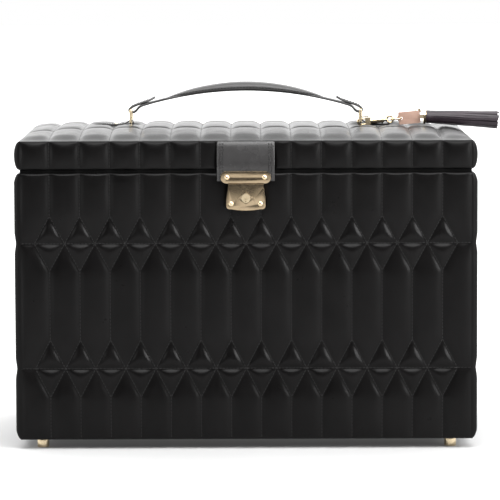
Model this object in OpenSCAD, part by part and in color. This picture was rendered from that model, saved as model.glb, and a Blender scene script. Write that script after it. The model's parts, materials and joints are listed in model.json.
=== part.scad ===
// Quilted leather jewellery case with a hinged lid, flap lock, ring-hung handle and tassel charm.
// Frame: +X to the right, front face towards -Y, +Z up. Origin on the floor, in the middle of the four feet.

/* [Case] */
// Distance between two vertical stitch lines of the quilting
pitch = 27.5; // [25:0.5:28]
// Height of the case body, without feet
base_h = 243.4; // [230:0.2:260]
// Height of the lid's side walls
lid_h = 25.2; // [22:0.1:30]
// Open gap between body and lid
gap_h = 4.5; // [3.8:0.1:4.8]
// How far the padded leather stands out past the stitch lines
puff = 3.5; // [2.5:0.1:4]
// Rise of the padded top above the lid's top seam
dome_h = 6.5; // [5:0.5:9]
// Thickness of the body's boards
base_board = 8; // [7:0.5:9]
// Thickness of the lid's boards
lid_board = 6.5; // [5:0.5:6.5]

/* [Feet] */
// Height of a foot
foot_h = 9; // [5:0.5:12]
// Diameter of a foot
foot_d = 11; // [9:0.5:16]

/* [Lock] */
// Width of the leather strap that carries the hasp
strap_w = 52.5; // [48:0.5:54]
// Width of the hasp plate
hasp_w = 45.4; // [42:0.2:46]
// Width of the lock plate at its top
lock_w = 32; // [30:0.5:34]
// Forward travel of the bolt
bolt_travel = 2.5; // [2.2:0.1:2.6]

/* [Handle] */
// Half of the distance between the two handle rings
ring_x = 108; // [105:0.5:113]
// Height between the two bars of a ring, centre to centre
ring_rise = 11.5; // [10:0.5:14]
// Rise of the strap's middle above its ends
strap_rise = 18.1; // [12:0.1:24]
// Height of the padded crown on the strap
pad_rise = 6.5; // [4:0.1:7]
// Half of the padded crown's length
pad_x = 74; // [60:1:80]

/* [Charm] */
// Length of the tassel's skirt
skirt_l = 65; // [50:1:66]
// Diameter of the skirt at its end
skirt_d = 17.5; // [14:0.5:18]
// Upward slope of the charm chain, in degrees
chain_tilt = 5; // [5:0.1:6]
// Droop of the tassel below the chain, in degrees
droop = 7.8; // [3:0.1:9]

/* [Hidden] */
$fn = 64;

// Colours
BLACK = [0.09, 0.085, 0.09];
GOLD = [0.86, 0.74, 0.52];
SUEDE = [0.45, 0.40, 0.36];
BOARD = [0.62, 0.50, 0.36];
STEEL = [0.7, 0.7, 0.72];

// Case outline: sx, sy are half the distances between the corner seams
sx = pitch * 15 / 2;
sy = pitch * 9 / 2;
skin = 1.5;               // leather and wadding at a stitch line
bx = sx - skin;           // half width over the boards
by = sy - skin;
z0 = foot_h;              // underside of the case
z_rim = z0 + base_h;      // top edge of the body
z_lid = z_rim + gap_h;    // bottom edge of the lid
z_seam = z_lid + lid_h;   // seam round the lid's top
z_top = z_seam + dome_h;  // crest of the padded top
edge = 1.2;               // leather over a board's end

welt_x = sx - 1;          // outer faces of the rim's raised welt
welt_y = sy - 1;
welt_gap = 0.4;

// Lining inside the body, standing up past the rim as a lip
liner_t = 2;
lip_h = 6.5;
slack = 0.15;
ix = bx - base_board - slack;  // outer faces of the lining
iy = by - base_board - slack;
floor_z = z0 + skin + base_board;
floor_pad_t = 2;
foot_screw_r = 1.5;
foot_screw_z = 6;
in_x = ix - liner_t;           // inner faces of the lining
in_y = iy - liner_t;

// Hinges
hinge_y = sy + puff + 0.25;
hinge_z = z_rim + gap_h / 2;
knuckle_r = 1.7;
pin_r = 0.9;
pin_gap = 0.05;
leaf_t = 0.8;
leaf_in = by - base_board + 0.6;
hinge_l = 60;
hinge_xs = [-130, 0, 130];
knuckles = 5;

// Lock
front_y = -(sy + puff);        // crown plane of the front quilting
lock_back = front_y - 0.1;
lock_face = front_y - 6.15;
slot_back = front_y - 2.25;
slot_front = front_y - 4.95;
hasp_back = front_y - 2.45;
hasp_t = 1.5;
tongue_t = 1.3;
z_hasp = z_rim + 2.3;          // top of the hasp plate
hasp_h = 10.9;
z_lock = z_hasp - hasp_h - 0.3;  // top of the lock plate's step
step_h = 3.1;
z_plate = z_lock - step_h;
plate_h = 21;
z_key = z_rim - 22;            // centre of the key cylinder
cyl_r = 4;
fit = 0.06;
window_z = z_lock - 3.5;       // centre of the tongue's window

// Handle
z_pivot = z_top + 3.7;         // lower bars of the rings
z_hang = z_pivot + ring_rise;  // upper bars of the rings
bar_r = 1.25;
bar_fit = 0.08;
ring_y = 11.5;                 // half length of a ring's bars
loop_w = 13;                   // width of the leather where it goes round a bar
loop_r = 3.4;
strap_t = 2.1;
end_lift = 1.1;                // the strap's middle line above the upper bar, at the bar
arc_r = (ring_x * ring_x + strap_rise * strap_rise) / (2 * strap_rise);
arc_z = z_hang + end_lift + strap_rise - arc_r;
strap_y = 16.5;
pad_y = 22;
pad_drop = arc_r - sqrt(arc_r * arc_r - pad_x * pad_x);
pad_sag = pad_drop + pad_rise;
pad_r = (pad_x * pad_x + pad_sag * pad_sag) / (2 * pad_sag);
pad_top = arc_z + arc_r + strap_t / 2 + pad_rise;

// Charm chain, in its own frame: x runs along the chain from the ring's lower bar
hook_y = 8.4;
jaw_r = 2.6;
wire_r = 0.8;
block_x = 4.5;
block_t = 3.2;
barrel_x = 9.5;
barrel_end = 22;
barrel_r = 2.6;
stem_r = 1.2;
gate_r = 0.7;
lever_z = 4;
eye_x = 27.8;
eye_r = 3;
eye_wire = 0.9;
link_x = 33.6;
link_r = 5;
link_wire = 0.8;
tag_x = 36;
tag_l = 20.2;
tag_h = 11.6;
tag_t = 2.4;
tassel_x = tag_x + tag_l + 1.6;  // tassel's pivot
collar_x = 1.6;                  // collar's face, from the pivot
collar_l = 2;
collar_r = 7;
head_r = 6.2;
key_x = link_x + 4.6;
key_turn = 15;

// Tray
tray_l = 190;
tray_z = 180;
tray_h = 56;
tray_wall = 4;
tray_y = in_y - 0.6;
tray_x0 = -in_x + 0.6;
rail_h = 4;
rail_d = 8;
tray_cells = 3;
cell_y = (2 * tray_y - 2 * tray_wall) / tray_cells;

// ---- shared shapes ----

// Box from its lowest and highest corners
module block(lo, hi) {
    translate(lo) cube(hi - lo);
}

// Outline in XZ, pushed from y0 forwards to y1 (y1 < y0)
module plate(y0, y1) {
    translate([0, y0, 0]) rotate([90, 0, 0]) linear_extrude(y0 - y1) children();
}

// Outline in YZ, pushed along X, centred
module bar_x(l) {
    translate([-l / 2, 0, 0]) rotate([90, 0, 90]) linear_extrude(l) children();
}

module slab2(w, h, r) {
    square([w - 2 * r, h], center = true);
    square([w, h - 2 * r], center = true);
    for (x = [-1, 1], z = [-1, 1]) translate([x * (w / 2 - r), z * (h / 2 - r)]) circle(r);
}

module rod_y(r, y0, y1) {
    translate([0, y0, 0]) rotate([-90, 0, 0]) cylinder(h = y1 - y0, r = r);
}

module rod_x(r, x0, x1) {
    translate([x0, 0, 0]) rotate([0, 90, 0]) cylinder(h = x1 - x0, r = r);
}

// Low dome of radius r on a plate, facing -Y
module rivet(r, h, shank, depth) {
    ball = (r * r + h * h) / (2 * h);
    intersection() {
        translate([0, ball - h, 0]) sphere(ball);
        rod_y(r, -h - 1, 0);
    }
    rod_y(shank, -0.01, depth);
}

// ---- case body ----

module feet() {
    color(GOLD)
    for (x = [-1, 1], y = [-1, 1]) translate([x * foot_cx(), y * foot_cy(), 0])
        difference() {
            cylinder(h = foot_h, d = foot_d);
            translate([0, 0, foot_screw_z]) cylinder(h = foot_h, r = foot_screw_r + fit);
        }
}

function foot_cx() = sx - 19.25;
function foot_cy() = sy - 17;

// Screws from inside the case, their heads sunk in the bottom board under the floor pad
module foot_screws() {
    color(STEEL)
    for (x = [-1, 1], y = [-1, 1]) translate([x * foot_cx(), y * foot_cy(), 0]) {
        translate([0, 0, foot_screw_z + 0.2]) cylinder(h = floor_z - foot_screw_z - 1, r = foot_screw_r);
        translate([0, 0, floor_z - 1.8]) cylinder(h = 1.6, r = 3);
    }
}

// Holes for the foot screws
module foot_bores() {
    for (x = [-1, 1], y = [-1, 1]) translate([x * foot_cx(), y * foot_cy(), 0]) {
        cylinder(h = floor_z + 1, r = foot_screw_r + fit);
        translate([0, 0, floor_z - 1.9]) cylinder(h = 3, r = 3.1);
    }
}

module underside_cover() {
    color(BLACK)
    difference() {
        block([-bx, -by, z0], [bx, by, z0 + skin]);
        foot_bores();
    }
}

module base_bottom_board() {
    color(BOARD)
    difference() {
        block([-bx, -by, z0 + skin], [bx, by, floor_z]);
        foot_bores();
    }
}

module base_front_board() {
    color(BOARD)
    difference() {
        block([-bx, -by, floor_z], [bx, -by + base_board, z_rim - edge]);
        block([-12.2, -by - 1, z_key - 9.7], [12.2, -by + 3.6, z_key + 11.7]);
    }
}

module base_back_board() {
    color(BOARD)
    block([-bx, by - base_board, floor_z], [bx, by, z_rim - edge]);
}

module side_board(s) {
    x0 = s > 0 ? bx - base_board : -bx;
    block([x0, -by + base_board, floor_z], [x0 + base_board, by - base_board, z_rim - edge]);
}

module base_left_board() {
    color(BOARD) side_board(-1);
}

module base_right_board() {
    color(BOARD) side_board(1);
}

// Padded leather of one wall: front (s = -1) or back (s = 1)
module wall_quilt(s, x0, x1, za, zb) {
    ya = s > 0 ? by : -(sy + puff);
    block([x0, ya, za], [x1, ya + skin + puff, zb]);
}

// Padded leather of a side wall
module side_quilt(s, za, zb) {
    xa = s > 0 ? bx : -(sx + puff);
    block([xa, -by, za], [xa + skin + puff, by, zb]);
}

module base_front_quilt() {
    color(BLACK)
    difference() {
        wall_quilt(-1, -sx, sx, z0, z_rim);
        block([-12.2, front_y - 1, z_key - 9.7], [12.2, -by + 1, z_key + 11.7]);
    }
}

module base_back_quilt() {
    color(BLACK) wall_quilt(1, -sx, sx, z0, z_rim);
}

module base_left_quilt() {
    color(BLACK) side_quilt(-1, z0, z_rim);
}

module base_right_quilt() {
    color(BLACK) side_quilt(1, z0, z_rim);
}

// Lining of the four walls, with the lip that guides the lid
module base_liner() {
    top = z_rim + lip_h;
    color(SUEDE) {
        for (s = [-1, 1]) {
            y0 = s > 0 ? in_y : -iy;
            block([-ix, y0, floor_z], [ix, y0 + liner_t, top]);
            x0 = s > 0 ? in_x : -ix;
            block([x0, -in_y + slack, floor_z], [x0 + liner_t, in_y - slack, top]);
        }
    }
}

module base_floor_pad() {
    color(SUEDE)
    block([-in_x + slack, -in_y + slack, floor_z], [in_x - slack, in_y - slack, floor_z + floor_pad_t]);
}

// Leather turned over the boards' top edge, with a raised welt that the lid closes on
module rim_binding() {
    color(BLACK)
    difference() {
        union() {
            block([-bx, -by, z_rim - edge], [bx, by, z_rim]);
            block([-welt_x, -welt_y, z_rim], [welt_x, welt_y, z_lid - welt_gap]);
        }
        block([-ix - 0.1, -iy - 0.1, z_rim - 2], [ix + 0.1, iy + 0.1, z_lid + 1]);
        for (x = hinge_xs)
            block([x - hinge_l / 2 - 1, leaf_in - 1, z_rim], [x + hinge_l / 2 + 1, sy + 10, z_lid + 1]);
    }
}

// Dividers of the lower half: one long board and short ones on both sides
module lower_dividers() {
    top = tray_z - rail_h - 8;
    low = floor_z + floor_pad_t + 0.1;
    step = 2 * in_x / 4;
    color(SUEDE) {
        block([-in_x + 0.3, -2, low], [in_x - 0.3, 2, top]);
        for (i = [1, 2, 3]) {
            x = -in_x + i * step;
            block([x - 2, 2.2, low], [x + 2, in_y - 0.3, top]);
            block([x - 2, -in_y + 0.3, low], [x + 2, -2.2, top]);
        }
    }
}

module tray_rails() {
    color(SUEDE)
    for (s = [-1, 1]) {
        y0 = s > 0 ? in_y - rail_d : -in_y;
        block([-in_x + 0.3, y0, tray_z - rail_h], [in_x - 0.3, y0 + rail_d, tray_z]);
    }
}

// ---- hinges ----

function knuckle_l() = hinge_l / knuckles;

// Knuckles number "first", "first + 2", ... of one hinge, with the leaf that carries them
module hinge_leaf(first, z_leaf) {
    k = knuckle_l();
    difference() {
        union() {
            block([0, leaf_in, z_leaf], [hinge_l, hinge_y - 2.3, z_leaf + leaf_t]);
            for (i = [first : 2 : knuckles - 1]) {
                block([i * k + 0.1, hinge_y - 2.4, z_leaf], [(i + 1) * k - 0.1, hinge_y, z_leaf + leaf_t]);
                translate([0, hinge_y, hinge_z]) rod_x(knuckle_r, i * k + 0.1, (i + 1) * k - 0.1);
            }
        }
        translate([0, hinge_y, hinge_z]) rod_x(pin_r + pin_gap, -1, hinge_l + 1);
        for (x = [10, 30, 50]) translate([x, leaf_in + 5, z_leaf - 1]) cylinder(h = 4, r = 1.1);
    }
}

module hinge_base_leaves() {
    color(GOLD)
    for (x = hinge_xs) translate([x - hinge_l / 2, 0, 0]) hinge_leaf(0, z_rim + 0.03);
}

module hinge_lid_leaves() {
    color(GOLD)
    for (x = hinge_xs) translate([x - hinge_l / 2, 0, 0]) hinge_leaf(1, z_lid - 0.03 - leaf_t);
}

module hinge_pins() {
    color(STEEL)
    for (x = hinge_xs) translate([x - hinge_l / 2, hinge_y, hinge_z]) rod_x(pin_r, -0.4, hinge_l + 0.4);
}

// Countersunk screws of the body's leaves
module hinge_screws() {
    color(GOLD)
    for (x = hinge_xs, dx = [-20, 0, 20]) translate([x + dx, leaf_in + 5, z_rim + 0.03])
        cylinder(h = leaf_t + 0.2, r = 1.05);
}

// ---- lock ----

// Face outline of the lock plate: step, flared body and bowed bottom edge
module lock_outline() {
    translate([-lock_w / 2, z_plate - 0.5]) square([lock_w, step_h + 0.5]);
    r = 3;
    zb = z_plate - plate_h + 1.2;
    wide = lock_w / 2 + 1.5;
    polygon([
        [-lock_w / 2 - 0.2, z_plate], [lock_w / 2 + 0.2, z_plate],
        [wide + 0.3, zb + 8], [wide + 0.3, zb + r],
        [wide + 0.3 - r, zb], [-wide - 0.3 + r, zb],
        [-wide - 0.3, zb + r], [-wide - 0.3, zb + 8]
    ]);
    for (s = [-1, 1]) translate([s * (wide + 0.3 - r), zb + r]) circle(r);
    intersection() {
        translate([0, zb + 70]) circle(71.2, $fn = 128);
        translate([-wide + r - 0.3, zb - 2]) square([2 * (wide - r) + 0.6, 4]);
    }
}

module lock_plate() {
    color(GOLD)
    difference() {
        union() {
            plate(lock_back, lock_face) lock_outline();
            // raised lines of the envelope flap, from the top corners to the bottom centre
            intersection() {
                plate(lock_face + 0.1, lock_face - 0.45) lock_outline();
                for (s = [-1, 1]) translate([s * lock_w / 4, 0, z_plate - 10.2])
                    rotate([0, s * -52.5, 0]) cube([26, 30, 0.9], center = true);
                block([-30, lock_face - 1, z_plate - 25], [30, lock_face + 1, z_plate - 0.6]);
            }
            // lozenge-shaped keyhole escutcheon
            translate([0, 0, z_key])
                plate(lock_face + 0.1, lock_face - 0.7)
                    polygon([[-8, 0], [0, 6.2], [8, 0], [0, -6.2]]);
        }
        // slot for the hasp's tongue
        block([-7, slot_front, z_lock - 7.6], [7, slot_back, z_lock + 1]);
        // way for the bolt
        block([-2.1, slot_back - 0.1, window_z - 1.2], [2.1, lock_back + 1, window_z + 1.2]);
        translate([0, 0, z_key]) rod_y(cyl_r + fit, lock_face - 2, lock_back + 2);
        for (s = [-1, 1]) translate([s * 13.3, 0, z_rim - 27]) rod_y(1.2, lock_face - 2, lock_back + 2);
    }
}

module lock_rivets() {
    color(GOLD)
    for (s = [-1, 1]) translate([s * 13.3, lock_face, z_rim - 27]) rivet(2.3, 1.1, 1.15, 5.9);
}

module lock_case() {
    color(STEEL)
    difference() {
        block([-12, lock_back + 0.1, z_key - 9.5], [12, -by + 3.4, z_key + 11.5]);
        translate([0, 0, z_key]) rod_y(cyl_r + fit, lock_back - 2, -by + 2);
        block([-2.1, lock_back - 1, window_z - 1.2], [2.1, -by + 2.2, window_z + 1.2]);
    }
}

module lock_cylinder() {
    color(GOLD)
    difference() {
        translate([0, 0, z_key]) rod_y(cyl_r, lock_face - 0.95, -by + 1.8);
        translate([0, 0, z_key]) rod_y(1.3, lock_face - 3, lock_face + 2.5);
        block([-0.6, lock_face - 3, z_key - 3], [0.6, lock_face + 2.5, z_key]);
    }
}

module lock_bolt() {
    color(STEEL)
    block([-2, slot_back + 0.3, window_z - 1.1], [2, -by + 1.9 - bolt_travel, window_z + 1.1]);
}

// ---- lid ----

module lid_top_board() {
    color(BOARD)
    block([-bx + lid_board + 0.1, -by + lid_board + 0.1, z_seam - 8.5],
          [bx - lid_board - 0.1, by - lid_board - 0.1, z_seam - skin]);
}

module lid_front_board() {
    color(BOARD) block([-bx, -by, z_lid + 1], [bx, -by + lid_board, z_seam - skin]);
}

module lid_back_board() {
    color(BOARD) block([-bx, by - lid_board, z_lid + 1], [bx, by, z_seam - skin]);
}

module lid_side_board(s) {
    x0 = s > 0 ? bx - lid_board : -bx;
    block([x0, -by + lid_board, z_lid + 1], [x0 + lid_board, by - lid_board, z_seam - skin]);
}

module lid_left_board() {
    color(BOARD) lid_side_board(-1);
}

module lid_right_board() {
    color(BOARD) lid_side_board(1);
}

// Padded top: crowned from front to back, rounded down at both ends
module lid_top_quilt() {
    flat = sx - 41.25;
    end_drop = dome_h + 0.5;
    end_r = (pow(sx - flat, 2) + end_drop * end_drop) / (2 * end_drop);
    dome_r = (sy * sy + dome_h * dome_h) / (2 * dome_h);
    low = z_seam - skin;
    color(BLACK)
    intersection() {
        bar_x(2 * sx) intersection() {
            translate([0, z_top - dome_r]) circle(dome_r, $fn = 720);
            translate([-sy, low]) square([2 * sy, 40]);
        }
        plate(sy + 1, -sy - 1) union() {
            translate([-flat, low]) square([2 * flat, z_top - low]);
            for (s = [-1, 1]) intersection() {
                translate([s * flat, z_top - end_r]) circle(end_r, $fn = 128);
                translate([s > 0 ? flat - 1 : -sx, low]) square([sx - flat + 1, 40]);
            }
        }
    }
}

module lid_front_quilts() {
    side = strap_w / 2 + 0.5;
    color(BLACK) {
        wall_quilt(-1, -sx, -side, z_lid, z_seam - skin);
        wall_quilt(-1, side, sx, z_lid, z_seam - skin);
    }
}

module lid_back_quilt() {
    color(BLACK) wall_quilt(1, -sx, sx, z_lid, z_seam - skin);
}

module lid_left_quilt() {
    color(BLACK) side_quilt(-1, z_lid, z_seam - skin);
}

module lid_right_quilt() {
    color(BLACK) side_quilt(1, z_lid, z_seam - skin);
}

module lid_lining() {
    color(SUEDE)
    block([-bx + lid_board + 0.1, -by + lid_board + 0.1, z_seam - 10.5],
          [bx - lid_board - 0.1, by - lid_board - 0.1, z_seam - 8.5]);
}

mirror_w = 300;
mirror_d = 170;
mirror_z = z_seam - 10.5;

module mirror_frame() {
    color(BLACK)
    difference() {
        block([-mirror_w / 2, -mirror_d / 2, mirror_z - 5], [mirror_w / 2, mirror_d / 2, mirror_z]);
        block([-mirror_w / 2 + 8, -mirror_d / 2 + 8, mirror_z - 6],
              [mirror_w / 2 - 8, mirror_d / 2 - 8, mirror_z + 1]);
        block([-mirror_w / 2 + 6, -mirror_d / 2 + 6, mirror_z - 3.2],
              [mirror_w / 2 - 6, mirror_d / 2 - 6, mirror_z + 1]);
    }
}

module mirror_glass() {
    color(STEEL)
    block([-mirror_w / 2 + 6.1, -mirror_d / 2 + 6.1, mirror_z - 3.1],
          [mirror_w / 2 - 6.1, mirror_d / 2 - 6.1, mirror_z - 0.1]);
}

// Smooth strap down the lid's front, bent outwards to pass over the body's padding
module strap_tab() {
    y = -by;
    color(BLACK)
    bar_x(strap_w)
        polygon([[y - 0.1, z_seam - skin], [y - 3.7, z_seam - skin], [y - 3.7, z_lid + 12],
                 [front_y - 2.4, z_lid + 1], [front_y - 2.4, z_rim - 6.5], [front_y - 0.4, z_rim - 6.5],
                 [front_y - 0.4, z_lid], [y - 1.6, z_lid + 8], [y - 0.1, z_lid + 8]]);
}

module hasp_plate() {
    zc = z_hasp - hasp_h / 2;
    color(GOLD)
    difference() {
        union() {
            plate(hasp_back, hasp_back - hasp_t) translate([0, zc]) slab2(hasp_w, hasp_h, 5.2);
            block([-6, hasp_back - tongue_t, z_lock - 7.1], [6, hasp_back, zc]);
        }
        block([-2.5, hasp_back - 3, window_z - 1.6], [2.5, hasp_back + 1, window_z + 1.6]);
        for (s = [-1, 1]) translate([s * 17, 0, zc]) rod_y(1.2, hasp_back - 4, hasp_back + 1);
    }
}

module hasp_rivets() {
    zc = z_hasp - hasp_h / 2;
    color(GOLD)
    for (s = [-1, 1]) translate([s * 17, hasp_back - hasp_t, zc]) rivet(2.3, 1.1, 1.15, hasp_t - 0.05);
}

// ---- handle ----

// Leather tab round a ring's lower bar, pointed at its outer end
module anchor_tab() {
    t = 2;
    z = z_top + 0.1;
    tip = 136;
    difference() {
        union() {
            translate([0, 0, z]) linear_extrude(t)
                polygon([[ring_x, -loop_w / 2], [tip - 8, -loop_w / 2], [tip, 0],
                         [tip - 8, loop_w / 2], [ring_x, loop_w / 2]]);
            translate([ring_x, 0, z_pivot]) rod_y(loop_r, -loop_w / 2, loop_w / 2);
        }
        translate([ring_x, 0, z_pivot]) rod_y(bar_r + bar_fit, -20, 20);
        translate([tip - 14, 0, z - 1]) cylinder(h = 4, r = 1.2);
    }
}

module anchor_tabs() {
    color(BLACK) {
        anchor_tab();
        mirror([1, 0, 0]) anchor_tab();
    }
}

module anchor_rivets() {
    color(GOLD)
    for (s = [-1, 1]) translate([s * 122, 0, z_top + 2.1]) rotate([-90, 0, 0]) rivet(2, 0.9, 1.15, 1.9);
}

// Rectangular ring: two bars along Y, two upright sides
module ring() {
    for (z = [z_pivot, z_hang]) {
        translate([0, 0, z]) rod_y(bar_r, -ring_y, ring_y);
        for (s = [-1, 1]) translate([0, s * ring_y, z]) sphere(bar_r);
    }
    for (s = [-1, 1]) translate([0, s * ring_y, z_pivot]) cylinder(h = ring_rise, r = bar_r);
}

module ring_left() {
    color(GOLD) translate([-ring_x, 0, 0]) ring();
}

module ring_right() {
    color(GOLD) translate([ring_x, 0, 0]) ring();
}

// Curved band of the handle between two radii, seen from the front
module band(r_in, r_out, x_in, x_out) {
    intersection() {
        difference() {
            translate([0, arc_z]) circle(r_out, $fn = 256);
            translate([0, arc_z]) circle(r_in, $fn = 256);
        }
        translate([x_in, z_pivot]) square([x_out - x_in, 80]);
    }
}

module handle_strap() {
    h = strap_t / 2;
    end_x = ring_x - 1;
    color(BLACK)
    difference() {
        union() {
            plate(strap_y / 2, -strap_y / 2) band(arc_r - h, arc_r + h, -96, 96);
            for (s = [-1, 1]) {
                x0 = s > 0 ? 88 : -end_x;
                plate(loop_w / 2, -loop_w / 2) band(arc_r - h, arc_r + h + 1.9, x0, x0 + end_x - 88);
                translate([s * ring_x, 0, z_hang]) rod_y(loop_r, -loop_w / 2, loop_w / 2);
            }
        }
        for (s = [-1, 1]) translate([s * ring_x, 0, z_hang]) rod_y(bar_r + bar_fit, -20, 20);
    }
}

// Padded crown on the strap, pointed at both ends
module handle_pad() {
    color(BLACK)
    plate(pad_y / 2, -pad_y / 2) difference() {
        intersection() {
            translate([0, pad_top - pad_r]) circle(pad_r, $fn = 256);
            translate([-pad_x, z_hang]) square([2 * pad_x, 60]);
        }
        translate([0, arc_z]) circle(arc_r + strap_t / 2 + 0.05, $fn = 256);
    }
}

// ---- charm on the right ring ----

module on_chain() {
    translate([ring_x, -hook_y, z_pivot]) rotate([0, -chain_tilt, 0]) children();
}

module on_tassel() {
    on_chain() translate([tassel_x, 0, 0]) rotate([0, droop, 0]) children();
}

// Trigger snap: round jaw, spring block and barrel
module snap_hook() {
    foot_z = -jaw_r - wire_r;
    head_z = jaw_r + gate_r + 0.3;
    color(GOLD)
    on_chain() difference() {
        union() {
            rotate([90, 0, 0]) rotate([0, 0, 90])
                rotate_extrude(angle = 180) translate([jaw_r, 0]) circle(wire_r);
            translate([0, 0, -jaw_r]) rod_x(wire_r, 0, block_x + 1);
            block([block_x, -block_t / 2, foot_z], [barrel_x, block_t / 2, head_z]);
            rod_x(barrel_r, barrel_x - 0.1, barrel_end);
            rod_x(barrel_r + 0.5, barrel_end - 2.5, barrel_end - 1);
        }
        translate([0, 0, jaw_r]) rod_x(gate_r + fit, block_x - 1, barrel_x + 5);
        rod_x(stem_r + fit, 14, barrel_end + 1);
        rod_x(2, 14, 17);
    }
}

// Sliding gate with a thumb lever bent back over the block
module hook_gate() {
    color(GOLD)
    on_chain() {
        translate([0, 0, jaw_r]) rod_x(gate_r, 0.2, block_x + 1.5);
        block([0.4, -0.7, jaw_r], [1.3, 0.7, lever_z + 0.1]);
        block([0.4, -1, lever_z], [block_x + 3.5, 1, lever_z + 1]);
    }
}

module swivel_eye() {
    color(GOLD)
    on_chain() {
        rod_x(1.9, 14.3, 16.7);
        rod_x(stem_r, 16.6, eye_x - eye_r);
        translate([eye_x, 0, 0]) rotate([90, 0, 0]) rotate_extrude() translate([eye_r, 0]) circle(eye_wire);
    }
}

module link_ring() {
    color(GOLD)
    on_chain() translate([link_x, 0, 0]) rotate_extrude() translate([link_r, 0]) circle(link_wire);
}

// Leather tag; its end is a knuckle that the tassel's pin passes through
module fob_tag() {
    color([0.72, 0.55, 0.46])
    on_chain() difference() {
        union() {
            plate(tag_t / 2, -tag_t / 2) translate([tag_x + tag_l / 2, 0]) slab2(tag_l, tag_h, 1);
            block([tag_x + tag_l - 1, -1.1, -1.5], [tassel_x, 1.1, 1.5]);
            translate([tassel_x, 0, 0]) rod_y(1.8, -1.1, 1.1);
        }
        translate([link_x + link_r, 0, 0]) rod_y(1.3, -3, 3);
        translate([tassel_x, 0, 0]) rod_y(0.9 + fit, -3, 3);
    }
}

// Small flat key that hangs on the link ring, behind the tag
module key() {
    color(GOLD)
    on_chain() translate([key_x, 0, 0]) rotate([0, -key_turn, 0]) difference() {
        plate(3.4, 2) {
            circle(3.6);
            translate([3, -1]) square([17, 2]);
            translate([14.5, -0.5]) square([1.8, 2.9]);
            translate([17.8, -0.5]) square([2.2, 2.9]);
        }
        rod_y(2.4, 1, 5);
    }
}

// Gold collar with two cheeks and the pin that the tassel swings on
module tassel_collar() {
    color(GOLD)
    on_tassel() {
        difference() {
            rod_x(collar_r, collar_x, collar_x + collar_l);
            rod_x(2.2, 0, 10);
        }
        for (s = [-1, 1])
            block([-1.5, s * 2.15 - 0.55, -1.5], [collar_x + 0.1, s * 2.15 + 0.55, 1.5]);
        rod_y(0.9, -2.7, 2.7);
    }
}

// Leather neck, head and cut fringe as one closed shape
module tassel_skirt() {
    x0 = collar_x + collar_l;
    color(BLACK)
    on_tassel() {
        rod_x(2.15, 2.3, x0 + 1);
        translate([x0, 0, 0]) rotate([0, 90, 0]) cylinder(h = skirt_l, r1 = head_r, r2 = skirt_d / 2);
    }
}

// ---- sliding tray ----

module tray() {
    color(SUEDE)
    translate([tray_x0, 0, tray_z + 0.1]) difference() {
        block([0, -tray_y, 0], [tray_l, tray_y, tray_h]);
        block([tray_wall, -tray_y + tray_wall, tray_wall],
              [tray_l - tray_wall, tray_y - tray_wall, tray_h + 1]);
    }
}

module tray_dividers() {
    color(SUEDE)
    translate([tray_x0, 0, tray_z + 0.1 + tray_wall])
    for (i = [1 : tray_cells - 1]) {
        y = -tray_y + tray_wall + i * cell_y;
        block([tray_wall + 0.2, y - 1.5, 0], [tray_l - tray_wall - 0.2, y + 1.5, tray_h - tray_wall - 8]);
    }
}

// Padded rolls that hold rings, filling the front cell
module ring_rolls() {
    rolls = 5;
    d = (cell_y - 2) / rolls;
    color(SUEDE)
    translate([tray_x0, -tray_y + tray_wall + 0.6, tray_z + 0.2 + tray_wall])
    for (i = [0 : rolls - 1]) translate([tray_wall + 1, (i + 0.5) * d, 22])
        rotate([0, 90, 0]) cylinder(h = tray_l - 2 * tray_wall - 2, d = d - 0.3);
}

feet();
foot_screws();
underside_cover();
base_bottom_board();
base_front_board();
base_back_board();
base_left_board();
base_right_board();
base_front_quilt();
base_back_quilt();
base_left_quilt();
base_right_quilt();
base_liner();
base_floor_pad();
rim_binding();
lower_dividers();
tray_rails();
hinge_base_leaves();
hinge_pins();
hinge_screws();
lock_plate();
lock_rivets();
lock_case();
lock_cylinder();
lock_bolt();
lid_top_board();
lid_front_board();
lid_back_board();
lid_left_board();
lid_right_board();
lid_top_quilt();
lid_front_quilts();
lid_back_quilt();
lid_left_quilt();
lid_right_quilt();
lid_lining();
mirror_frame();
mirror_glass();
hinge_lid_leaves();
strap_tab();
hasp_plate();
hasp_rivets();
anchor_tabs();
anchor_rivets();
ring_left();
ring_right();
handle_strap();
handle_pad();
snap_hook();
hook_gate();
swivel_eye();
link_ring();
fob_tag();
key();
tassel_collar();
tassel_skirt();
tray();
tray_dividers();
ring_rolls();
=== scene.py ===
"""Looks of a quilted leather jewellery case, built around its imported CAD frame.

Metres, +Z up, the front towards -Y."""
import json
import math

import bmesh
import bpy
import numpy as np
from mathutils import Matrix, Vector

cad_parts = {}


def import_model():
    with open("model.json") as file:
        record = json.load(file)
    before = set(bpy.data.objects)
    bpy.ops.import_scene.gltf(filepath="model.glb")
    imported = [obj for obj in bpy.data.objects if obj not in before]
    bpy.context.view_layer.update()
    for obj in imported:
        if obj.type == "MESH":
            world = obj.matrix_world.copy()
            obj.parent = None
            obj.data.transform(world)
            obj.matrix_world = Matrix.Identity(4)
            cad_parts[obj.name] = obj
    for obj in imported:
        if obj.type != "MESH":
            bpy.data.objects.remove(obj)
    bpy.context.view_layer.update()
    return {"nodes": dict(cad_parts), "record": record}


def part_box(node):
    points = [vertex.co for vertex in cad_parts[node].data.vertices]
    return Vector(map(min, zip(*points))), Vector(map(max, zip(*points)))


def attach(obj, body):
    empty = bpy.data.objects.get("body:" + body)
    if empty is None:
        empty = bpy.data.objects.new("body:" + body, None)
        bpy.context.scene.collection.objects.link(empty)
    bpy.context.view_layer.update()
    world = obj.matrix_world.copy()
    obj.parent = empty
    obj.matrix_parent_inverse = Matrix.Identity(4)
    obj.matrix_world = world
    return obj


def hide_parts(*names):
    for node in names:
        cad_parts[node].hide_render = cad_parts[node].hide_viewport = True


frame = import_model()
MM = 0.001


# ---------------- measures from the frame

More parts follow.
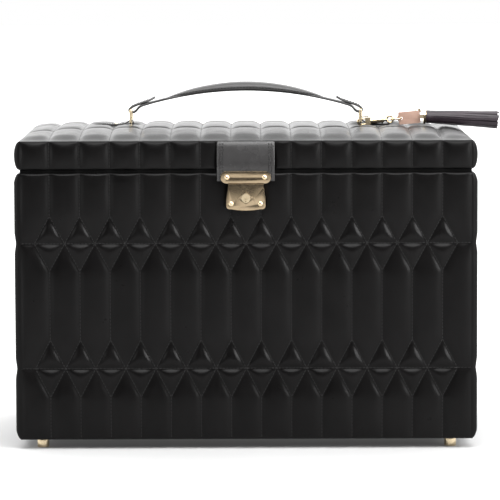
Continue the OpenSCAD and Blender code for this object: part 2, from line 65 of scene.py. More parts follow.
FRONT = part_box("base_front_quilt")
FRONT_COLS, SIDE_COLS = 15, 9  # quilting channels
PUFF = 3.5 * MM  # how far the padding stands out past a stitch line
END_PUFF = 1.2 * MM  # how much further it stands out on the two end walls
SKIN = 1.5 * MM  # board to stitch line
BACKING = 0.97 * SKIN  # depth of the skins' own flat backs, just off the board
PITCH = (FRONT[1].x - FRONT[0].x) / FRONT_COLS
SX = FRONT[1].x  # corner seams
SY = -FRONT[0].y - PUFF
Z0, Z_RIM = FRONT[0].z, FRONT[1].z
Z_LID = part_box("lid_front_quilts")[0].z
Z_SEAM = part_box("lid_front_quilts")[1].z + SKIN
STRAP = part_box("strap_tab")
LIP = 0.7 * MM  # leather rolled past the boards' edges into the lid's gap
BAND_MIDS = (64.3 * MM, 178.8 * MM)  # middles of the diamond bands, below the body's top edge
BAND_HALVES = (25 * MM, 26.3 * MM)


# ---------------- node materials

class Nodes:
    """Short-hand for one material's node tree."""

    def __init__(self, name):
        self.mat = bpy.data.materials.new(name)
        self.mat.use_nodes = True
        self.tree = self.mat.node_tree
        self.bsdf = self.tree.nodes["Principled BSDF"]
        self.coords = self.add("ShaderNodeTexCoord").outputs["Object"]

    def add(self, kind, **values):
        node = self.tree.nodes.new(kind)
        for key, value in values.items():
            setattr(node, key, value)
        return node

    def link(self, a, b):
        self.tree.links.new(a, b)

    def set(self, **values):
        for key, value in values.items():
            self.bsdf.inputs[key.replace("_", " ")].default_value = value
        return self

    def noise(self, scale, detail=3.0, rough=0.5, distort=0.0, stretch=None):
        node = self.add("ShaderNodeTexNoise")
        node.inputs["Scale"].default_value = scale
        node.inputs["Detail"].default_value = detail
        node.inputs["Roughness"].default_value = rough
        node.inputs["Distortion"].default_value = distort
        self.link(self.stretched(stretch), node.inputs["Vector"])
        return node.outputs["Fac"]

    def cells(self, scale):
        node = self.add("ShaderNodeTexVoronoi", feature="DISTANCE_TO_EDGE")
        node.inputs["Scale"].default_value = scale
        self.link(self.coords, node.inputs["Vector"])
        return node.outputs["Distance"]

    def stretched(self, stretch):
        if stretch is None:
            return self.coords
        node = self.add("ShaderNodeMapping")
        node.inputs["Scale"].default_value = stretch
        self.link(self.coords, node.inputs["Vector"])
        return node.outputs["Vector"]

    def spread(self, fac, low, high, from_low=0.3, from_high=0.7):
        node = self.add("ShaderNodeMapRange")
        node.inputs["From Min"].default_value = from_low
        node.inputs["From Max"].default_value = from_high
        node.inputs["To Min"].default_value = low
        node.inputs["To Max"].default_value = high
        self.link(fac, node.inputs["Value"])
        return node.outputs["Result"]

    def colours(self, fac, low, high):
        node = self.add("ShaderNodeMix", data_type="RGBA")
        self.link(self.spread(fac, 0, 1), node.inputs["Factor"])
        node.inputs["A"].default_value = (*low, 1)
        node.inputs["B"].default_value = (*high, 1)
        self.link(node.outputs["Result"], self.bsdf.inputs["Base Color"])
        return self

    def roughness(self, fac, low, high):
        self.link(self.spread(fac, low, high), self.bsdf.inputs["Roughness"])
        return self

    def bumps(self, *layers):
        """Each layer is (height output, distance in metres)."""
        normal = None
        for height, distance in layers:
            node = self.add("ShaderNodeBump")
            node.inputs["Distance"].default_value = distance
            node.inputs["Strength"].default_value = 1.0
            self.link(height, node.inputs["Height"])
            if normal is not None:
                self.link(normal, node.inputs["Normal"])
            normal = node.outputs["Normal"]
        self.link(normal, self.bsdf.inputs["Normal"])
        return self


def leather(name, dark, light, rough, grain, specular=0.5):
    """Smooth-grained leather: fine pores, soft creases, a slightly uneven finish."""
    n = Nodes(name)
    n.set(Specular_IOR_Level=specular)
    n.colours(n.noise(34, 4, 0.6), dark, light)
    n.roughness(n.noise(60, 5, 0.65), *rough)
    n.bumps((n.noise(420, 5, 0.62, 0.4), grain * 2.2 * MM), (n.cells(1350), grain * 0.5 * MM))
    return n.mat


def gold(name, colour, rough=(0.13, 0.24), brushed=0.0):
    """Plated brass: a warm mirror with faint hairlines and smears."""
    n = Nodes(name)
    n.set(Metallic=1.0)
    n.colours(n.noise(90, 3), tuple(c * 0.93 for c in colour), colour)
    n.roughness(n.noise(160, 4, 0.6), *rough)
    hair = n.noise(300, 3, 0.6, 0, (14, 1, 1) if brushed else (3, 3, 3))
    n.bumps((hair, (0.006 + brushed * 0.03) * MM))
    return n.mat


def steel(name):
    """Plain steel with fine drawing lines."""
    n = Nodes(name)
    n.set(Metallic=1.0)
    n.colours(n.noise(70, 3), (0.44, 0.44, 0.46), (0.62, 0.62, 0.64))
    n.roughness(n.noise(120, 4), 0.28, 0.42)
    n.bumps((n.noise(500, 3, 0.6, 0, (1, 1, 9)), 0.01 * MM))
    return n.mat


def suede(name, dark, light):
    """Suede-like lining: matt nap with soft brushed clouds."""
    n = Nodes(name)
    n.set(Sheen_Weight=0.45, Sheen_Roughness=0.4, Specular_IOR_Level=0.2)
    n.colours(n.noise(48, 6, 0.65, 0.6), dark, light)
    n.roughness(n.noise(200, 4), 0.82, 0.96)
    n.bumps((n.noise(1400, 4, 0.7), 0.12 * MM), (n.noise(220, 4, 0.6), 0.10 * MM))
    return n.mat


def fibreboard(name, dark, light):
    """Board with short mottled fibres."""
    n = Nodes(name)
    n.set(Specular_IOR_Level=0.25)
    n.colours(n.noise(300, 6, 0.7), dark, light)
    n.roughness(n.noise(90, 3), 0.75, 0.9)
    n.bumps((n.noise(900, 5, 0.7), 0.1 * MM))
    return n.mat


def mirror(name):
    """Silvered glass, almost without haze."""
    n = Nodes(name)
    n.set(Metallic=1.0)
    n.colours(n.noise(6, 2), (0.86, 0.88, 0.88), (0.92, 0.93, 0.93))
    n.roughness(n.noise(30, 3), 0.01, 0.03)
    return n.mat


def thread(name, colour):
    """Twisted sewing thread."""
    n = Nodes(name)
    n.set(Specular_IOR_Level=0.3, Sheen_Weight=0.2)
    n.colours(n.noise(500, 2), tuple(c * 0.6 for c in colour), colour)
    n.roughness(n.noise(700, 2), 0.5, 0.7)
    n.bumps((n.noise(2600, 2, 0.5, 0, (1, 1, 3)), 0.08 * MM))
    return n.mat


QUILT = leather("quilted_leather", (0.0024, 0.0022, 0.0022), (0.0042, 0.0039, 0.0039),
                rough=(0.27, 0.35), grain=0.04, specular=0.12)
SMOOTH = leather("smooth_leather", (0.006, 0.0055, 0.0058), (0.011, 0.010, 0.0104),
                 rough=(0.26, 0.38), grain=0.04, specular=0.4)
STRAP_LEATHER = leather("strap_leather", (0.022, 0.021, 0.021), (0.034, 0.033, 0.033),
                        rough=(0.22, 0.3), grain=0.03, specular=0.6)
HANDLE = leather("handle_leather", (0.030, 0.029, 0.029), (0.050, 0.049, 0.048),
                 rough=(0.27, 0.38), grain=0.08)
# Near-black, almost unreflecting leather for the rim binding: painted shade, so the narrow gap between lid
# and body reads as a deep shadow.
RIM_PAINTED_SHADE = leather("rim_leather_painted_shade", (0.0012, 0.0011, 0.0011), (0.002, 0.0019, 0.0019),
              rough=(0.6, 0.75), grain=0.04, specular=0.05)
FRINGE = leather("tassel_leather", (0.014, 0.009, 0.013), (0.032, 0.021, 0.028),
                 rough=(0.34, 0.52), grain=0.08)
TAG = leather("tag_leather", (0.36, 0.22, 0.17), (0.44, 0.29, 0.23), rough=(0.38, 0.5), grain=0.05)
GOLD = gold("pale_gold", (0.80, 0.66, 0.44))
# The plates' brass: brushed, and at about half the pale gold's colour, which is painted shade for the
# darker look of the lock and hasp plates.
BRUSHED_SHADED_GOLD = gold("brushed_gold_painted_shade", (0.40, 0.31, 0.20), rough=(0.2, 0.28), brushed=0.25)
STEEL = steel("plain_steel")
MIRROR = mirror("mirror")
LINING = suede("lining", (0.20, 0.155, 0.125), (0.33, 0.27, 0.22))
DARK_LINING = suede("dark_lining", (0.012, 0.011, 0.011), (0.022, 0.020, 0.020))
BOARD = fibreboard("fibreboard", (0.25, 0.16, 0.09), (0.42, 0.29, 0.17))
DARK_BOARD = fibreboard("painted_fibreboard", (0.010, 0.009, 0.009), (0.020, 0.018, 0.018))
THREAD = thread("black_thread", (0.006, 0.0055, 0.0055))


# ---------------- mesh helpers

def piece(name, verts, faces, material, body, slot, sharp=0.7):
    """A finished mesh object that rides on a CAD body; only edges above the angle sharp stay hard."""
    mesh = bpy.data.meshes.new(name)
    mesh.from_pydata([tuple(v) for v in verts], [], [tuple(f) for f in faces])
    mesh.validate()
    obj = bpy.data.objects.new(name, mesh)
    bpy.context.scene.collection.objects.link(obj)
    b = bmesh.new()
    b.from_mesh(mesh)
    bmesh.ops.recalc_face_normals(b, faces=b.faces)
    for f in b.faces:
        f.smooth = True
    for e in b.edges:
        if len(e.link_faces) == 2 and e.calc_face_angle(0) > sharp:
            e.smooth = False
    b.to_mesh(mesh)
    b.free()
    mesh.materials.append(material)
    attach(obj, body)
    return obj


def grid_faces(rows, cols, closed=False):
    """Quads of a rows x cols lattice of points; closed joins the last column to the first."""
    i, j = np.meshgrid(np.arange(rows - 1), np.arange(cols if closed else cols - 1), indexing="ij")
    k = (j + 1) % cols
    quads = np.stack([i * cols + j, i * cols + k, (i + 1) * cols + k, (i + 1) * cols + j], -1)
    return quads.reshape(-1, 4).tolist()


def rod_faces(rings, sides):
    """Faces of a closed rod: rings of points joined in order, with a cap on both ends."""
    caps = [list(range(sides))[::-1], [(rings - 1) * sides + k for k in range(sides)]]
    return grid_faces(rings, sides, closed=True) + caps


def border(rows, cols):
    """Index pairs once round the edge of a lattice."""
    return ([(0, j) for j in range(cols)]
            + [(i, cols - 1) for i in range(1, rows)]
            + [(rows - 1, j) for j in range(cols - 2, -1, -1)]
            + [(i, 0) for i in range(rows - 2, 0, -1)])


def closed_skin(points, foot):
    """A lattice of points closed by a skirt and a flat base; foot gives a border point's base point."""
    rows, cols = points.shape[:2]
    verts = points.reshape(-1, 3).tolist()
    faces = grid_faces(rows, cols)
    ring = border(rows, cols)
    base = len(verts)
    count = len(ring)
    verts += [foot(points[i, j]) for i, j in ring]
    for k, (a, b) in enumerate(zip(ring, ring[1:] + ring[:1])):
        faces.append([a[0] * cols + a[1], b[0] * cols + b[1], base + (k + 1) % count, base + k])
    faces.append([base + k for k in range(count)])
    return verts, faces


def smoothed(values, rounds):
    """Each inner value is averaged with its neighbours, a number of times over."""
    for _ in range(rounds):
        values[1:-1] = (values[:-2] + 2 * values[1:-1] + values[2:]) / 4
    return values


def join(parts):
    """One (verts, faces) from several."""
    verts, faces = [], []
    for v, f in parts:
        base = len(verts)
        verts += list(v)
        faces += [[i + base for i in face] for face in f]
    return verts, faces


# a stitch's rings of points: place along it, share of its radius
STITCH_PROFILE = ((0.0, 0.45), (0.18, 1.0), (0.82, 1.0), (1.0, 0.45))
STITCH_SIDES = 6


def capsule(a, b, up, radius, flat=0.6):
    """One thread stitch from a to b: a low, round-ended bead."""
    a, b, up = Vector(a), Vector(b), Vector(up)
    t = b - a
    length = t.length
    t.normalize()
    side = t.cross(up).normalized()
    verts = []
    for s, r in STITCH_PROFILE:
        for k in range(STITCH_SIDES):
            w = 2 * math.pi * k / STITCH_SIDES
            out = side * (math.cos(w) * radius * r) + up * (math.sin(w) * radius * r * flat)
            verts.append(a + t * (length * s) + out)
    return verts, rod_faces(len(STITCH_PROFILE), STITCH_SIDES)


def stitch_run(points, ups, gap=3.2 * MM, radius=0.27 * MM, lift=0.1 * MM):
    """Stitches along a polyline, each a little shorter than its share; ups are the outward directions."""
    pts = np.array([list(p) for p in points], float)
    ups = np.array([list(u) for u in ups], float)
    lengths = np.r_[0, np.cumsum(np.linalg.norm(np.diff(pts, axis=0), axis=1))]
    count = max(1, int(round(lengths[-1] / gap)))
    parts = []
    for i in range(count):
        s0, s1 = lengths[-1] * (i + 0.14) / count, lengths[-1] * (i + 0.86) / count
        p = [np.array([np.interp(s, lengths, pts[:, k]) for k in range(3)]) for s in (s0, s1)]
        u = np.array([np.interp((s0 + s1) / 2, lengths, ups[:, k]) for k in range(3)])
        u = u / np.linalg.norm(u)
        parts.append(capsule(p[0] + u * lift, p[1] + u * lift, u, radius))
    return join(parts)


# ---------------- quilting

HOLD = 6e7  # how hard a stitch line holds the skin
HOLD_WIDTH = 0.75 * MM
CREASE_DEPTH, CREASE_WIDTH = 0.35 * MM, 0.9 * MM
GATHER_DEPTH, GATHER_REACH = 0.10 * MM, 4.5 * MM
ROUNDS, OVER_RELAX = 220, 1.75  # of the relaxation
EDGE_TURN = 1.5 * MM  # radius of the rolled edges along a wall's top and bottom
BODY_PUSH, LID_PUSH = 0.06, 0.09  # the padding's pressure
DIAMOND_PUSH = 1.8  # how much more of it there is in the diamonds
RIM_LEVEL = 1.3 * MM  # how far the cushions still stand out at a wall's edge
SEWN_LEVEL = 0.4 * MM  # the same where the lid's walls are sewn to its top
RIM_FADE = 3 * MM  # it dips to nothing over this distance from a stitch line
SOFT_LIMIT = 1.45  # height, as a share of the full height, that firm padding tends to
EDGE_DROP, EDGE_SHARE = 0.8 * MM, 0.3  # what the rolled edges lose: a length, and a share of the height
CORNER_SHARE = 0.95  # share of the height that is lost at a free end
WALL_FINE = 22  # lattice steps across one channel
TOP_FINE = 18


def smooth_noise(shape, cell, seed):
    """Soft random field in -1..1, about one hump per cell of lattice points."""
    r = np.random.default_rng(seed)
    rows, cols = shape
    coarse = r.uniform(-1, 1, (rows // cell + 4, cols // cell + 4))
    yi, xi = np.arange(rows) / cell, np.arange(cols) / cell
    y0, x0 = yi.astype(int), xi.astype(int)
    fy, fx = yi - y0, xi - x0
    fy, fx = fy * fy * (3 - 2 * fy), fx * fx * (3 - 2 * fx)
    a = coarse[np.ix_(y0, x0)] * (1 - fx) + coarse[np.ix_(y0, x0 + 1)] * fx
    b = coarse[np.ix_(y0 + 1, x0)] * (1 - fx) + coarse[np.ix_(y0 + 1, x0 + 1)] * fx
    return a * (1 - fy)[:, None] + b * fy[:, None]


def inflate(pin, step_u, step_v, pressure, start=None, ends=False):
    """Height of a skin that padding pushes out with the given pressure and stitches hold where pin is high.

    It relaxes the membrane equation on the lattice, red and black points in turn. The border keeps the
    height it starts with, but free ends roll over the board instead of being sewn to it."""
    w = np.zeros_like(pin) if start is None else start.copy()
    cu, cv = 1 / step_u ** 2, 1 / step_v ** 2
    diag = 2 * cu + 2 * cv + pin
    i, j = np.indices(pin.shape)
    inner = np.zeros(pin.shape, bool)
    inner[1:-1, 1:-1] = True
    masks = [inner & ((i + j) % 2 == k) for k in (0, 1)]
    for _ in range(ROUNDS):
        for mask in masks:
            around = np.zeros_like(w)
            around[1:-1, 1:-1] = cu * (w[1:-1, 2:] + w[1:-1, :-2]) + cv * (w[2:, 1:-1] + w[:-2, 1:-1])
            new = (around + pressure) / diag
            w = np.where(mask, w + OVER_RELAX * (new - w), w)
        if ends:
            w[:, 0], w[:, -1] = w[:, 1], w[:, -2]
    return w


def turn(edge, radius):
    """Share of its height that a rolled edge has lost at some distance from the edge: a quarter round."""
    return np.where(edge < radius, 1 - np.sqrt(np.maximum(1 - (1 - edge / radius) ** 2, 0)), 0)


def firm(w, full):
    """Firm padding: it fills out quickly from a seam and then runs nearly flat at its full height."""
    return full * (1 - np.exp(-w / full))


def crease(distance):
    """Sharp dip that a tight thread pulls into the skin along its line."""
    return -CREASE_DEPTH * np.exp(-(distance / CREASE_WIDTH) ** 2)


def held(distance):
    """How strongly a stitch line holds the skin at some distance from it."""
    return HOLD * np.exp(-(distance / HOLD_WIDTH) ** 2)


def gathers(distance, w, wave):
    """Small folds that run out from each stitch line and die away over a few millimetres."""
    near = np.exp(-distance / GATHER_REACH) * np.clip(distance / (0.8 * MM), 0, 1)
    return GATHER_DEPTH * near * wave * np.clip(w / (0.5 * MM), 0, 1)


def in_diamond(u, v, height, cols):
    """1 inside the diamonds, 0 in the channels."""
    across = np.abs(u - np.clip(np.round(u / PITCH), 1, cols - 1) * PITCH)
    inside = np.zeros(u.shape)
    for mid, tall in zip(BAND_MIDS, BAND_HALVES):
        along = np.abs(v - (height - mid))
        inside = np.maximum(inside, (across / (PITCH / 2) + along / tall < 1).astype(float))
    return inside


def quilt_distance(u, v, height, cols, bands, ends):
    """Distance from a wall's points to its nearest stitch line; free ends have no line of their own."""
    nearest = np.clip(np.round(u / PITCH), int(ends), cols - int(ends))
    across = np.abs(u - nearest * PITCH)
    distance = across.copy()
    if not bands:
        return distance
    half = PITCH / 2
    for mid, tall in zip(BAND_MIDS, BAND_HALVES):
        along = np.abs(v - (height - mid))
        inside = along < tall
        slanted = np.abs(across / half + along / tall - 1) / math.hypot(1 / half, 1 / tall)
        corner = (nearest == 0) | (nearest == cols) | (across > half)
        tip = np.hypot(across, along - tall)
        band = np.where(corner, across, np.minimum(slanted, np.where(along > tall, tip, 1.0)))
        distance = np.where(inside, band, np.minimum(distance, np.where(corner, 1.0, tip)))
        distance = np.minimum(distance, along)
    return distance


def share_held(to_end):
    """The lines let go of the skin near a free end, where it rolls over the board."""
    loose, tight, least = 5 * MM, 14 * MM, 2e-6
    return np.clip((to_end - loose) / (tight - loose), 0, 1) ** 3 + least


class Wall:
    """A padded wall: its own axes, its stitch lines and its relaxed surface."""

    def __init__(self, origin, across, normal, width, height, cols, bands, push, seed, hold, rims, ends):
        self.origin, self.across, self.normal = Vector(origin), Vector(across), Vector(normal)
        self.width, self.height, self.cols, self.bands = width, height, cols, bands
        self.nu = cols * WALL_FINE + 1
        self.nv = int(round(height / (PITCH / WALL_FINE))) + 1
        self.u = np.linspace(0, width, self.nu)
        self.v = np.linspace(0, height, self.nv)
        uu, vv = np.meshgrid(self.u, self.v)
        to_end = np.minimum(uu, width - uu)
        self.distance = quilt_distance(uu, vv, height, cols, bands, ends)
        pin = held(self.distance)
        if ends:
            pin = pin * share_held(to_end)
        if hold is not None:
            pin = pin + hold(uu, vv) * HOLD
        start = np.zeros(uu.shape)
        for row, level in zip((0, -1), rims):
            start[row] = level * (1 - np.exp(-(self.distance[row] / RIM_FADE) ** 2))
        full = PUFF + (END_PUFF if ends else 0)
        push = self.padding(uu, vv, push, seed)
        self.w = firm(inflate(pin, self.u[1], self.v[1], push / MM, start, ends), SOFT_LIMIT * full)
        wave = smooth_noise(uu.shape, 3, seed + 2) + 0.6 * smooth_noise(uu.shape, 6, seed + 3)
        sunk = np.clip(to_end / (6 * MM), 0, 1) if ends else 1.0
        self.w += gathers(self.distance, self.w, wave) + crease(self.distance) * sunk
        self.w = np.minimum(self.w, full)
        edge = np.minimum(vv, height - vv)
        self.round = -turn(edge, EDGE_TURN) * (EDGE_DROP + np.maximum(self.w, 0) * EDGE_SHARE)
        if ends:
            corner = turn(to_end, full)
            self.round = np.minimum(self.round, -corner * CORNER_SHARE * np.maximum(self.w, 0))

    def padding(self, uu, vv, pressure, seed):
        """Slightly uneven pressure, higher in the diamonds."""
        broad, small = smooth_noise(uu.shape, WALL_FINE, seed), smooth_noise(uu.shape, 5, seed + 1)
        uneven = 0.10 * broad + 0.05 * small
        push = pressure * (1 + uneven)
        if self.bands:
            push = push * (1 + DIAMOND_PUSH * in_diamond(uu, vv, self.height, self.cols))
        return push

    def points(self):
        """The skin's lattice in the case's frame."""
        uu, vv = np.meshgrid(self.u, self.v)
        o, a, n = (np.array(list(x)) for x in (self.origin, self.across, self.normal))
        out = o + uu[..., None] * a + (self.w + self.round)[..., None] * n
        out[..., 2] += vv
        return out

    def at(self, u, v):
        """Point on the skin."""
        i = int(np.clip(round(u / self.u[1]), 0, self.nu - 1))
        j = int(np.clip(round(v / self.v[1]), 0, self.nv - 1))
        p = self.origin + self.across * u + self.normal * float(self.w[j, i] + self.round[j, i])
        return Vector((p.x, p.y, self.origin.z + v))

    def lines(self):
        """The stitch lines as polylines of (u, v)."""
        out = []
        cuts = [0.0]
        if self.bands:
            for mid, tall in sorted(zip(BAND_MIDS, BAND_HALVES), reverse=True):
                cuts += [self.height - mid - tall, self.height - mid + tall]
        cuts.append(self.height)
        inset = 1.5 * MM  # the lines end a little short of the edges
        for i in range(1, self.cols):
            u = i * PITCH
            for a, b in zip(cuts[0::2], cuts[1::2]):
                out.append([(u, max(a, inset)), (u, min(b, self.height - inset))])
            if self.bands:
                for mid, tall in zip(BAND_MIDS, BAND_HALVES):
                    m = self.height - mid
                    for s in (-1, 1):
                        out.append([(u, m + tall), (u + s * PITCH / 2, m), (u, m - tall)])
        if self.bands:
            for mid in BAND_MIDS:
                out.append([(inset, self.height - mid), (self.width - inset, self.height - mid)])
        return out

    def mesh(self):
        """The skin with a border turned in to the board and a flat back: one closed form."""
        n = np.array(list(self.normal))
        plane = float(self.origin.dot(self.normal)) - BACKING
        return closed_skin(self.points(), lambda q: (q + n * (plane - float(np.dot(q, n)))).tolist())

    def stitches(self):
        """Stitch meshes along all its lines."""
        parts = []
        for line in self.lines():
            dense = []
            for (u0, v0), (u1, v1) in zip(line, line[1:]):
                steps = max(2, int(math.hypot(u1 - u0, v1 - v0) / (4 * MM)))
                dense += [(u0 + (u1 - u0) * t / steps, v0 + (v1 - v0) * t / steps) for t in range(steps)]
            dense.append(line[-1])
            pts = [self.at(u, v) for u, v in dense]
            parts.append(stitch_run(pts, [self.normal] * len(pts)))
        return join(parts)


SIDES = {  # lower corner, along, outwards, width, channels
    "front": ((-SX, -SY), (1, 0, 0), (0, -1, 0), 2 * SX, FRONT_COLS),
    "back": ((SX, SY), (-1, 0, 0), (0, 1, 0), 2 * SX, FRONT_COLS),
    "left": ((-SX, SY), (0, -1, 0), (-1, 0, 0), 2 * SY, SIDE_COLS),
    "right": ((SX, -SY), (0, 1, 0), (1, 0, 0), 2 * SY, SIDE_COLS),
}


def four_walls(name, body, nodes, low, height, bands, push, seed, rims, front_hold=None):
    """The quilted walls round the body or the lid; name has a place for the side, nodes the CAD nodes."""
    for k, (side, (corner, across, normal, width, cols)) in enumerate(SIDES.items()):
        hold = front_hold if side == "front" else None
        wall = Wall((*corner, low), across, normal, width, height, cols, bands, push, seed + 10 * k,
                    hold, rims, side in ("left", "right"))
        full_name = name.format(side)
        obj = piece(full_name, *wall.mesh(), QUILT, body, "quilted_leather", sharp=1.2)
        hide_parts(nodes[side])
        piece(full_name + "_stitches", *wall.stitches(), THREAD, body, "quilted_leather")


def base_walls():
    """The body's walls, with both bands of diamonds."""
    nodes = {side: f"base_{side}_quilt" for side in SIDES}
    height = Z_RIM - Z0 + LIP
    four_walls("body_{}_quilting", "case", nodes, Z0, height, True, BODY_PUSH, 11, (RIM_LEVEL, RIM_LEVEL))


def lid_walls():
    """The lid's shallow walls, sewn to its top."""
    height = Z_SEAM - Z_LID + LIP
    gap = STRAP[1].x + 0.4 * MM
    r = 7 * MM

    def beside_strap(uu, vv):
        """Held flat under the strap, with rounded upper corners next to it."""
        x = np.abs(uu - SX)
        corner = np.hypot(np.maximum(gap + r - x, 0), np.maximum(vv - (height - r), 0)) > r
        return ((x < gap) | (corner & (vv > height - r) & (x < gap + r))).astype(float)

    nodes = {side: f"lid_{side}_quilt" for side in SIDES}
    nodes["front"] = "lid_front_quilts"
    four_walls("lid_{}_quilting", "lid", nodes, Z_LID - LIP, height, False, LID_PUSH, 51,
               (RIM_LEVEL, SEWN_LEVEL), beside_strap)


# the place under the charm: its middle and its half size
CHARM_REST = (142 * MM, -8.4 * MM, 39 * MM, 11 * MM)


def pressed(xx, yy, z):
    """Keep the padding under the handle's tabs and under the charm's path, and let it rise beside them."""
    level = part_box("lid_top_quilt")[1].z - 0.5 * MM
    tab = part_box("anchor_tabs")[1].x - 15 * MM
    slope, curve = 0.16, 12  # of the padding's rise beside such a place
    soft = 0.4 * MM  # the transition's softness, and how far it reaches
    far = 16 * soft
    for cx, cy, half_x, half_y in ((tab, 0, 15 * MM, 7 * MM), (-tab, 0, 15 * MM, 7 * MM), CHARM_REST):
        away = np.hypot(np.maximum(np.abs(xx - cx) - half_x, 0), np.maximum(np.abs(yy - cy) - half_y, 0))
        cap = np.minimum(level + slope * away + curve * away ** 2, z + far)
        z = cap - soft * np.log1p(np.exp(np.maximum(cap - z, -far) / soft))
    return z


TOP_FULL = 3.2 * MM  # height of the lid's cushions
TOP_DOME = 6.4 * MM
TOP_FLANK = 24 * MM  # the cushions thin out over this distance from the long edges


def lid_top():
    """Padded top: 3 rows of 15 cushions over a low dome."""
    nx, ny = FRONT_COLS * TOP_FINE + 1, SIDE_COLS * TOP_FINE + 1
    x, y = np.linspace(-SX, SX, nx), np.linspace(-SY, SY, ny)
    xx, yy = np.meshgrid(x, y)
    to_col = np.abs(xx / PITCH - 0.5 - np.round(xx / PITCH - 0.5)) * PITCH
    row = 2 * SY / 3
    to_row = np.abs((yy + SY) / row - np.round((yy + SY) / row)) * row
    distance = np.minimum(to_col, to_row)
    push = LID_PUSH * (1 + 0.08 * smooth_noise(xx.shape, TOP_FINE, 91))
    w = firm(inflate(held(distance), x[1] - x[0], y[1] - y[0], push / MM), TOP_FULL)
    flank = np.clip((SY - np.abs(yy)) / TOP_FLANK, 0, 1)
    w = w * flank * flank * (3 - 2 * flank) + crease(distance)
    w += gathers(distance, w, smooth_noise(xx.shape, 3, 93))
    dome = TOP_DOME * (1 - np.abs(yy / SY) ** 2.4) * (1 - np.abs(xx / SX) ** 9)
    z = pressed(xx, yy, Z_SEAM + dome + w)
    low = Z_SEAM - BACKING
    shrink = 1 - SKIN / SX
    skin = closed_skin(np.stack([xx, yy, z], -1), lambda q: (q[0] * shrink, q[1] * shrink, low))
    obj = piece("lid_top_cushions", *skin, QUILT, "lid", "quilted_leather", sharp=1.2)
    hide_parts("lid_top_quilt")

    def surface(px, py):
        i = int(np.clip(round((px + SX) / (x[1] - x[0])), 0, nx - 1))
        j = int(np.clip(round((py + SY) / (y[1] - y[0])), 0, ny - 1))
        return Vector((px, py, float(z[j, i])))

    inset = 1 * MM
    lines = []
    for k in range(1, FRONT_COLS):
        lines.append([surface(-SX + k * PITCH, t) for t in np.linspace(-SY + inset, SY - inset, 62)])
    for k in (1, 2):
        lines.append([surface(t, -SY + k * row) for t in np.linspace(-SX + inset, SX - inset, 104)])
    parts = [stitch_run(line, [(0, 0, 1)] * len(line)) for line in lines]
    piece("lid_top_stitches", *join(parts), THREAD, "lid", "quilted_leather")


# ---------------- soft parts swept along a path

def unit(v):
    """The same direction with length 1."""
    v = np.asarray(v, float)
    return v / np.linalg.norm(v)


def section(half, thick, corner=0.45, side=5):
    """Rounded rectangle: points (across, out) round a strap's cross-section, slightly crowned."""
    r = min(thick / 2, half) * corner * 2
    pts = []
    for sa, sb, start in ((1, 1, 0), (-1, 1, 90), (-1, -1, 180), (1, -1, 270)):
        for k in range(side):
            w = math.radians(start + 90 * k / (side - 1))
            pts.append((sa * (half - r) + r * math.cos(w), sb * (thick / 2 - r) + r * math.sin(w)))
    return pts


def direction(path, i):
    """Unit tangent of a polyline at one of its points."""
    return unit(path[min(i + 1, len(path) - 1)] - path[max(i - 1, 0)])


def ribbon(path, across, half, thick):
    """A strap swept along a path; half and thick are one number or one per point. Gives verts and faces."""
    path = np.array([list(p) for p in path], float)
    n = len(path)
    half = np.broadcast_to(half, n)
    thick = np.broadcast_to(thick, n)
    across = unit(list(across))
    verts = []
    for i in range(n):
        out = unit(np.cross(direction(path, i), across))
        verts += [path[i] + across * a + out * b for a, b in section(half[i], thick[i])]
    return verts, rod_faces(n, len(verts) // n)


def resample(points, step):
    """Evenly spaced, gently smoothed copy of a polyline."""
    p = np.array([list(q) for q in points], float)
    s = np.r_[0, np.cumsum(np.linalg.norm(np.diff(p, axis=0), axis=1))]
    count = max(3, int(s[-1] / step))
    t = np.linspace(0, s[-1], count)
    return smoothed(np.stack([np.interp(t, s, p[:, k]) for k in range(3)], 1), 3)


def edge_stitches(name, path, across, offset, lift, body, gap=3.0 * MM, radius=0.3 * MM):
    """Stitches along a swept strap, offset sideways from its middle line and lifted to one of its faces."""
    path = np.asarray(path)
    across = unit(list(across))
    pts, ups = [], []
    for i in range(len(path)):
        out = unit(np.cross(direction(path, i), across)) * (1 if lift > 0 else -1)
        side = offset[i] if np.ndim(offset) else offset
        pts.append(path[i] + across * side + out * abs(lift))
        ups.append(out)
    piece(name, *stitch_run(pts, ups, gap, radius), THREAD, body, "smooth_leather")


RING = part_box("ring_right")
BAR = 1.25 * MM  # radius of the rings' wire
RING_X = (RING[0].x + RING[1].x) / 2
Z_PIVOT = RING[0].z + BAR  # lower bar, which the tabs hold
Z_HANG = RING[1].z - BAR  # upper bar, which the handle hangs on
STRAP_T = 2.1 * MM
STRAP_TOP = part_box("handle_strap")[1].z
END_LIFT = 1.1 * MM
RISE = STRAP_TOP - STRAP_T / 2 - Z_HANG - END_LIFT
ARC_R = (RING_X ** 2 + RISE ** 2) / (2 * RISE)
ARC_Z = STRAP_TOP - STRAP_T / 2 - ARC_R
HANDLE_HALF, END_HALF = 8.25 * MM, 6.5 * MM  # half widths under the pad and at the ends
PAD_END, SEAM_END = 80 * MM, 76 * MM  # where the width changes, and where the ends' stitches begin
POINT = 9 * MM  # length of the rounded tips
# the strap's folded-back end: mm from the handle's middle, mm that it stands off the strap below
TAIL = ((85.5, 1.9), (88, 1.0), (91, 0.35), (95, 0.1), (100, 0.0))


def arc_z(x, above=0.0):
    """Height of the handle strap's middle line, or of a line above it."""
    return ARC_Z + math.sqrt((ARC_R + above) ** 2 - x * x)


def bend(cx, cz, radius, start, end, sign, steps=14):
    """Points on a circle in the XZ plane; degrees from straight up, turning outwards on side sign."""
    out = []
    for k in range(steps + 1):
        w = math.radians(start + (end - start) * k / steps)
        out.append((cx + sign * radius * math.sin(w), 0, cz + radius * math.cos(w)))
    return out


